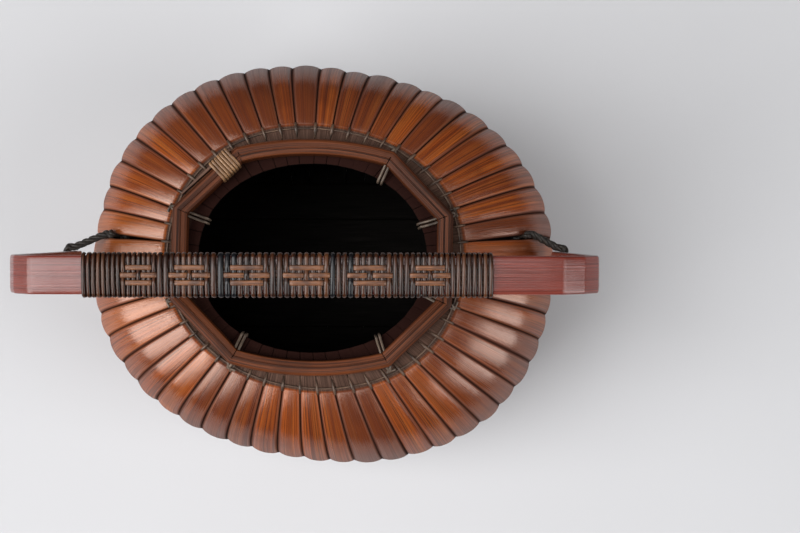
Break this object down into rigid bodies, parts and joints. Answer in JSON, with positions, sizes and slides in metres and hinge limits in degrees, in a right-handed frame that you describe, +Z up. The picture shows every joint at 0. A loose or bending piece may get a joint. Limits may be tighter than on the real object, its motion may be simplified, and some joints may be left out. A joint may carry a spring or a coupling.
{
  "type": "ikebana flower basket",
  "caption": "Melon-shaped split-bamboo flower basket with bent ribs, an eight-sided rim and a rattan-wound arched handle that swings on cord ties.",
  "frame": {"origin": "on the ground under the middle of the body", "axes": "+Z up, +X along the handle's bar, -Y towards the side that the handle leans to"},
  "size_m": [0.29, 0.2422, 0.281],
  "materials": {
    "rib_bamboo": "lacquered split bamboo, glossy",
    "rim_bamboo": "lacquered split bamboo, satin",
    "handle_bamboo": "lacquered split bamboo, glossy",
    "pale_rattan": "bare rattan, satin",
    "dark_rattan": "stained rattan, satin",
    "inlay_rattan": "stained rattan, satin",
    "black_cord": "braided cord, matte"
  },
  "bodies": {
    "basket": {"long_strip_1": "rib_bamboo", "long_strip_2": "rib_bamboo", "long_strip_3": "rib_bamboo", "long_strip_4": "rib_bamboo", "long_strip_5": "rib_bamboo", "cross_strip_1": "rib_bamboo", "cross_strip_2": "rib_bamboo", "cross_strip_3": "rib_bamboo", "cross_strip_4": "rib_bamboo", "cross_strip_5": "rib_bamboo", "cross_strip_6": "rib_bamboo", "cross_strip_7": "rib_bamboo", "cross_strip_8": "rib_bamboo", "neck_hoop": "rim_bamboo", "neck_binding": "pale_rattan", "rim_frame": "rim_bamboo", "rim_lap": "rim_bamboo", "rim_lashing": "pale_rattan", "corner_tie_1": "pale_rattan", "corner_tie_2": "pale_rattan", "corner_tie_3": "pale_rattan", "corner_tie_4": "pale_rattan", "corner_tie_5": "pale_rattan", "corner_tie_6": "pale_rattan", "corner_tie_7": "pale_rattan", "tie_cord_left": "black_cord", "tie_cord_right": "black_cord"},
    "handle": {"handle_strip": "handle_bamboo", "handle_winding": "dark_rattan", "handle_inlay_1": "inlay_rattan", "handle_inlay_2": "inlay_rattan", "handle_inlay_3": "inlay_rattan"}
  },
  "joints": [
    {"name": "handle_swing", "type": "hinge", "parent": "basket", "child": "handle", "pos_m": [0, -0.0045, 0.153], "axis": [1, 0, 0], "range_deg": [-35, 25], "deforming": ["tie_cord_left", "tie_cord_right"]}
  ]
}
